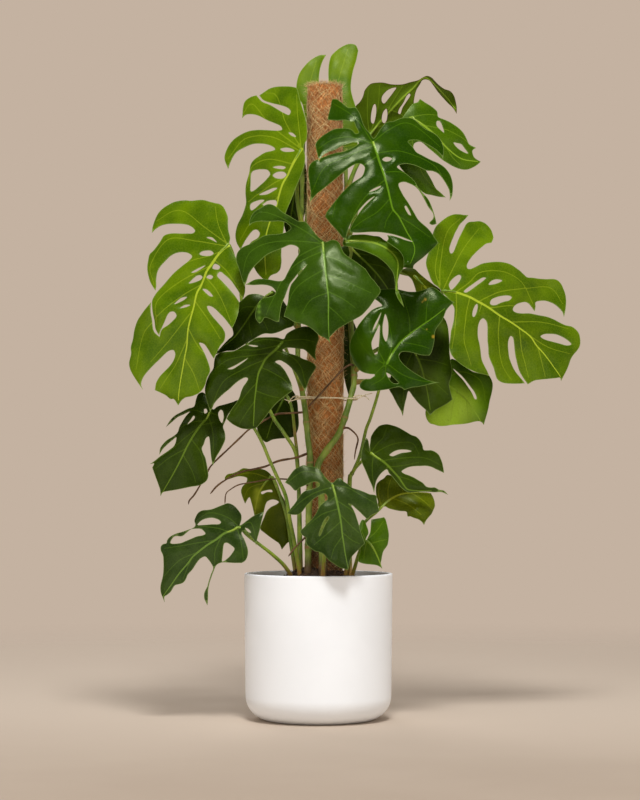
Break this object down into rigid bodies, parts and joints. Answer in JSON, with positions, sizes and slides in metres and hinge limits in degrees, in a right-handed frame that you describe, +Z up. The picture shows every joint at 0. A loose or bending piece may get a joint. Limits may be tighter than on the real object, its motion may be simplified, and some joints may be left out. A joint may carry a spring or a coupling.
{
  "type": "potted climbing monstera deliciosa",
  "caption": "Potted Swiss cheese plant: slit and holed green leaves on long stalks, climbing a coir pole that stands in the soil of a round white pot.",
  "frame": {"origin": "middle of the flat underside of the pot", "axes": "+Z up along the pot's axis, -Y towards the plant's front, where most leaves face, +X to the right seen from the front"},
  "size_m": [0.8489, 0.4167, 1.312],
  "materials": {
    "pot": "satin white glaze",
    "soil": "dark moist potting mix, matt and crumbly",
    "coir": "brown coconut fibre, rough, in a net of the same brown",
    "wood": "plain wooden stake",
    "raffia": "dry cream raffia",
    "stem": "living green stem, smooth, brown at the old nodes",
    "root": "brown aerial root, dull and slightly scaly",
    "leaf": "living leaf, glossy green with paler veins"
  },
  "bodies": {
    "root": {"coir_pole": "coir", "leaf_centre_front": "leaf", "leaf_centre_rear": "leaf", "leaf_crown_back": "leaf", "leaf_front_bottom": "leaf", "leaf_hook": "leaf", "leaf_left": "leaf", "leaf_left_inner": "leaf", "leaf_left_middle": "leaf", "leaf_left_rear": "leaf", "leaf_low_left_rear": "leaf", "leaf_low_right": "leaf", "leaf_low_right_under": "leaf", "leaf_lower_left": "leaf", "leaf_lowest_left": "leaf", "leaf_lowest_right": "leaf", "leaf_pole_rear": "leaf", "leaf_right": "leaf", "leaf_right_inner": "leaf", "leaf_right_lower": "leaf", "leaf_right_rear": "leaf", "leaf_right_rear_small": "leaf", "leaf_upper_front": "leaf", "leaf_upper_left": "leaf", "leaf_upper_left_rear": "leaf", "leaf_upper_right": "leaf", "leaf_upper_right_rear": "leaf", "pole_core": "wood", "pot": "pot", "raffia_tie": "raffia", "root_long_left": "root", "root_lower_left": "root", "root_on_pole": "root", "root_right": "root", "root_stub": "root", "root_thin_left": "root", "soil": "soil", "stem_front": "stem", "stem_left": "stem", "stem_rear": "stem"}
  },
  "joints": []
}
